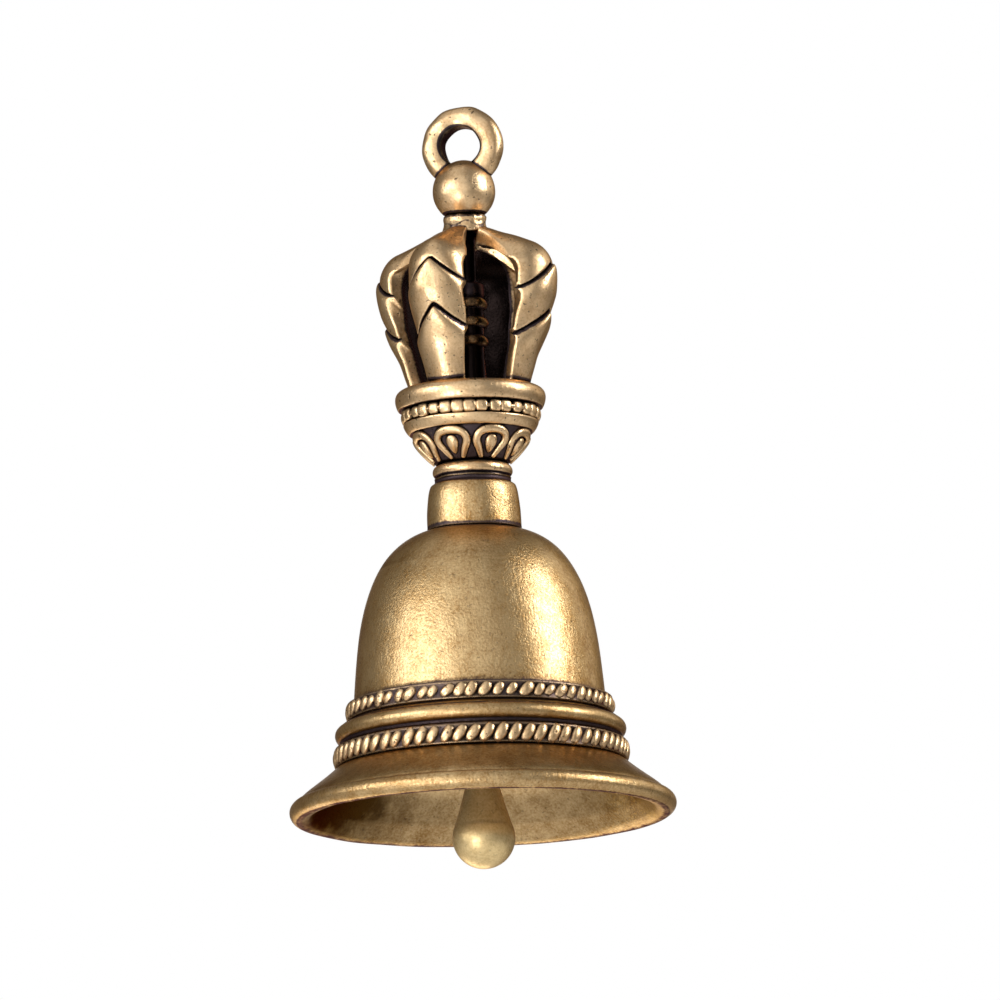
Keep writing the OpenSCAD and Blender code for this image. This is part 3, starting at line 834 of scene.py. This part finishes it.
# The dark band round the bore widens towards the upper left.
toward_upper_left = np.clip(np.cos(np.arctan2(verts[:, 2], verts[:, 0]) - math.radians(150)), 0, 1) ** 2
from_bore = np.hypot(verts[:, 0], verts[:, 2]) - bore_r
inner = 1 - step(from_bore - 0.12 * toward_upper_left, 0.05, 0.2 + 0.12 * toward_upper_left)
away = verts - (0, 0, ball_z - loop_z)
near = np.linalg.norm(away, axis=1)
inside = near < ball_r
feet = 1 - step(near, ball_r + 0.02, ball_r + 0.22)
verts[inside] = (0, 0, ball_z - loop_z) + away[inside] / near[inside][:, None] * (ball_r - 0.11)
verts = cast(verts, 0.06, 0.9, 9)
loop_turn = math.radians(-15)
c, s = math.cos(loop_turn), math.sin(loop_turn)
verts = np.stack([
    verts[:, 0] * c - verts[:, 1] * s, verts[:, 0] * s + verts[:, 1] * c, verts[:, 2] + loop_z,
], 1)
loop = metal("hanging_loop_visual", verts, faces)
patina_and_shade(loop, inner + 0.45 * feet)
loop.data.materials.append(cast_brass)
fit(loop, "bell", "antiqued_brass", "hanging_loop")

# --- Nut, eye and wire link inside the bell ---------------------------------------------
# A cap nut on the end of the tang clamps the handle on the bell. The wire eye under it and
# the long bent link are dark with handling oil, and both run free with a little play.


def hoop(major, minor, z, turns=96, around=20):
    """A wire ring that stands in the plane of X and Z."""
    v, f = lathe(arc(major, 0, minor, 0, 360 - 360 / around, around - 1), turns)
    return v[:, [0, 2, 1]] + (0, 0, z), f


nut_high = CEILING_Z
nut_low = nut_high - 1.4
eye_z = nut_low - 0.9
eye_r = 0.75
eye_wire = 0.24
nut = lathe([
    [0, nut_low], [1.2, nut_low], [1.4, nut_low + 0.06], [1.5, nut_low + 0.2], [1.5, nut_high - 0.12],
    [1.44, nut_high - 0.02], [0.7, nut_high - 0.01], [0, nut_high - 0.01],
], 96)
eye = metal("clapper_eye_visual", *together(nut, hoop(eye_r, eye_wire, eye_z)))
eye.data.materials.append(black_brass)
fit(eye, "bell", "dark_brass", "clapper_eye")

link_wire = 0.2
play = 0.05
round_points = 14
link_top = eye_z - eye_r + eye_wire + link_wire + play
link_low = link_top - 4.74
bend = 0.6
low_hub = link_low + bend
top_hub = link_top - bend
path = [(bend * math.cos(a), top_hub + bend * math.sin(a)) for a in np.linspace(0, math.pi, 25)]
path += [(-bend, z) for z in np.linspace(top_hub, low_hub, 16)[1:-1]]
path += [
    (bend * math.cos(a), low_hub + bend * math.sin(a))
    for a in np.linspace(math.pi, 2 * math.pi, 25)
]
path += [(bend, z) for z in np.linspace(low_hub, top_hub, 16)[1:-1]]
path = np.array(path)
along = np.roll(path, -1, 0) - np.roll(path, 1, 0)
along /= np.linalg.norm(along, axis=1)[:, None]
verts = []
for p, t in zip(path, along):
    for a in np.linspace(0, 2 * math.pi, round_points, endpoint=False):
        off = link_wire * math.cos(a)
        verts.append((link_wire * math.sin(a), p[0] + off * t[1], p[1] - off * t[0]))
faces = []
for i in range(len(path)):
    j = (i + 1) % len(path)
    for m in range(round_points):
        q = (m + 1) % round_points
        a, b = i * round_points, j * round_points
        faces.append((a + m, a + q, b + q, b + m))
link = metal("clapper_link_visual", verts, faces)
link.data.materials.append(black_brass)
fit(link, "link", "dark_brass", "clapper_link")

# --- The clapper ------------------------------------------------------------------------
# A turned pear of paler brass with a ring at its head. It hangs by its own weight, and its
# end shows below the lip.

clap_r = 1.95
clap_z = clap_r + (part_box("clapper")[0][2] - BASE_Z) / MM
claw_r = 0.72
claw_wire = 0.22
claw_z = link_low + link_wire + play + claw_wire - claw_r
stem = claw_z - claw_r
clapper_outline = np.vstack([
    [[0, clap_z - clap_r]],
    arc(0, clap_z, clap_r, -88, 21, 44),
    bezier((0.91 * clap_r, clap_z + 0.8), (0.83 * clap_r, clap_z + 1.3), (0.68 * clap_r, clap_z + 2.2),
           (0.56 * clap_r, clap_z + 3.1), 24),
    bezier((0.53 * clap_r, clap_z + 3.5), (0.47 * clap_r, clap_z + 5), (0.36 * clap_r, stem - 1.6),
           (0.32 * clap_r, stem - 0.4), 16),
    [[0.3, stem + 0.02], [0, stem + 0.08]],
])
clapper_body = lathe(clapper_outline, 128)
clapper = metal("clapper_visual", *together(clapper_body, hoop(claw_r, claw_wire, claw_z)))
pale = brass(
    "pale_brass", (0.8, 0.61, 0.31), (0.5, 0.33, 0.13), rough=0.36, gather=0.6, shadow=0.0,
    wide_shade_brown=0.0, turned=0.2, tarnish=0.4, pitted=0.2, matte=0.3,
)
clapper.data.materials.append(pale)
fit(clapper, "clapper", "pale_brass", "clapper")

# --- Where the patina gathers and where shade is painted ------------------------------------
# The finished bell was dipped black and then rubbed back, so the dark stays in the fine
# hollows where a cloth can't reach and ridges come up bright. Rays from each point find how
# closed in it is, close by for the patina and further off for painted shade in the wide
# hollows, and the turn of the surface to its neighbours finds the ridges.

shown = [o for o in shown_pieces() if o.type == "MESH"]
points, polys = [], []
for o in shown:
    start = len(points)
    points += [v.co.copy() for v in o.data.vertices]
    polys += [tuple(i + start for i in p.vertices) for p in o.data.polygons]
tree = BVHTree.FromPolygons(points, polys)
count = 44
rays = []
for i in range(count):
    z = 1 - (2 * i + 1) / count
    a = i * math.pi * (3 - math.sqrt(5))
    flat_r = math.sqrt(1 - z * z)
    rays.append(Vector((flat_r * math.cos(a), flat_r * math.sin(a), z)))
near_by = 0.9 * MM
far_off = 4.5 * MM
lift = 0.012 * MM
grazing = 0.12
for o in shown:
    mesh = o.data
    total = len(mesh.vertices)
    fine = np.zeros(total)
    wide = np.zeros(total)
    for v in mesh.vertices:
        n = v.normal
        start = v.co + n * lift
        weight = 0.0
        close = 0.0
        far = 0.0
        for d in rays:
            c = d.dot(n)
            if c < grazing:
                continue
            weight += c
            hit = tree.ray_cast(start, d, far_off)[3]
            if hit is not None:
                far += c * (1 - hit / far_off)
                if hit < near_by:
                    close += c * (1 - hit / near_by)
        if weight:
            fine[v.index] = close / weight
            wide[v.index] = far / weight
    places = np.array([v.co for v in mesh.vertices])
    normals = np.array([v.normal for v in mesh.vertices])
    ends = np.array([e.vertices[:] for e in mesh.edges])
    number = np.maximum(np.bincount(ends.ravel(), minlength=total), 1)
    apart = places[ends[:, 1]] - places[ends[:, 0]]
    bend_of = (normals[ends[:, 1]] - normals[ends[:, 0]]) * apart
    bend_of = bend_of.sum(1) / np.maximum((apart * apart).sum(1), 1e-12) * MM
    ridge = sum(np.bincount(ends[:, p], bend_of, total) for p in (0, 1)) / number
    for values in (fine, wide, ridge):
        for _ in range(2):
            nearby = np.bincount(ends[:, 0], values[ends[:, 1]], total)
            nearby += np.bincount(ends[:, 1], values[ends[:, 0]], total)
            values[:] = 0.5 * values + 0.5 * nearby / number
    for name, values in (("fine", fine), ("wide", wide), ("ridge", ridge)):
        held = mesh.attributes.new(name, "FLOAT", "POINT")
        held.data.foreach_set("value", values.astype(np.float32))
    if "patina_and_shade" not in mesh.attributes:
        patina_and_shade(o, np.zeros(total))

# --- Floor, backdrop, light and camera ----------------------------------------------------
# A pale floor well below the hanging bell, a white backdrop behind it, soft boxes at the
# sides, above and below, and a long lens that looks slightly up.


def paper(name):
    """Pale paper that shows white to the lens and in the metal."""
    mat = bpy.data.materials.new(name)
    mat.use_nodes = True
    made = mat.node_tree
    made.nodes.clear()
    pen = Wire(made)
    seen = pen.node("ShaderNodeLightPath", out="Is Camera Ray")
    glossy = Wire(made, seen.socket.node.outputs["Is Glossy Ray"])
    passing = Wire(made, seen.socket.node.outputs["Is Transmission Ray"])
    plain = pen.node("ShaderNodeBsdfDiffuse", {}, {"Color": (0.86, 0.86, 0.86, 1)})
    white = pen.node("ShaderNodeEmission", {}, {"Color": (1, 1, 1, 1), "Strength": 1.0})
    shader = pen.node("ShaderNodeMixShader", {}, {0: seen + glossy + passing, 1: plain, 2: white})
    pen.node("ShaderNodeOutputMaterial", {}, {"Surface": shader})
    return mat


def sheet(name, corners, mat):
    """A flat sheet that belongs to the room."""
    mesh = bpy.data.meshes.new(name)
    mesh.from_pydata(corners, [], [(0, 1, 2, 3)])
    mesh.materials.append(mat)
    obj = bpy.data.objects.new(name, mesh)
    bpy.context.scene.collection.objects.link(obj)


floor_z = -0.29
back_y = 2.0
sheet("backdrop", [
    (-0.35, back_y, floor_z), (0.35, back_y, floor_z), (0.35, back_y, 0.75), (-0.35, back_y, 0.75),
], paper("backdrop_paper"))
floor_mat = bpy.data.materials.new("floor_paint")
floor_mat.use_nodes = True
floor_shader = floor_mat.node_tree.nodes["Principled BSDF"]
floor_shader.inputs["Base Color"].default_value = (0.8, 0.79, 0.78, 1)
floor_shader.inputs["Roughness"].default_value = 0.7
sheet("floor", [(-3, -3, floor_z), (3, -3, floor_z), (3, 3, floor_z), (-3, 3, floor_z)], floor_mat)

world = bpy.data.worlds.new("room")
bpy.context.scene.world = world
world.use_nodes = True
room_light = world.node_tree.nodes["Background"]
room_light.inputs["Color"].default_value = (1, 1, 1, 1)
room_light.inputs["Strength"].default_value = 0.2


def soft_box(name, turn, rise, away, size, glow):
    """A soft box at an angle to the right of the lens and above it, of a given brightness."""
    lamp = bpy.data.lights.new(name, "AREA")
    lamp.shape = "RECTANGLE"
    lamp.size = size[0]
    lamp.size_y = size[1]
    lamp.energy = glow * math.pi * size[0] * size[1]
    obj = bpy.data.objects.new(name, lamp)
    bpy.context.scene.collection.objects.link(obj)
    turn = math.radians(turn)
    rise = math.radians(rise)
    toward = Vector((math.sin(turn) * math.cos(rise), -math.cos(turn) * math.cos(rise), math.sin(rise)))
    middle = Vector((0, 0, (cad_box[0][2] + cad_box[1][2]) / 2))
    obj.location = middle + away * toward
    obj.rotation_euler = (-toward).to_track_quat("-Z", "Y").to_euler()


soft_box("right_box", 79, 25, 0.6, (0.18, 0.38), 12.0)
soft_box("edge_box", 128, 24, 0.7, (0.2, 0.5), 1.3)
soft_box("left_box", -57, 13, 0.75, (0.66, 0.44), 4.2)
soft_box("front_box", -5, 8, 1.0, (0.9, 0.6), 0.9)
soft_box("low_left_box", -30, -28, 0.5, (0.2, 0.28), 6.5)
soft_box("low_back_box", 196, -36, 0.35, (0.24, 0.16), 2.8)
soft_box("top_box", -12, 42, 0.7, (0.5, 0.3), 0.8)
soft_box("sky_box", -70, 72, 0.8, (0.7, 0.7), 0.6)

tilt_up = math.radians(-9.9)
roll = math.radians(1.77)
away = 1.4
per_mm = 16.12
sensor = 36
wide_of_view = 1000
target = Vector((0, 0, BASE_Z + 19.87 * MM))
lens = bpy.data.cameras.new("camera")
lens.sensor_width = sensor
lens.lens = per_mm / MM * away * sensor / wide_of_view
lens.shift_x = 0.0265
lens.clip_start = 0.05
lens.clip_end = 20
camera = bpy.data.objects.new("camera", lens)
bpy.context.scene.collection.objects.link(camera)
camera.location = target + Vector((0, -away * math.cos(tilt_up), away * math.sin(tilt_up)))
look = (target - camera.location).to_track_quat("-Z", "Y")
camera.rotation_euler = (look @ Quaternion((0, 0, 1), -roll)).to_euler()
bpy.context.scene.camera = camera

bpy.context.scene.view_settings.view_transform = "Standard"
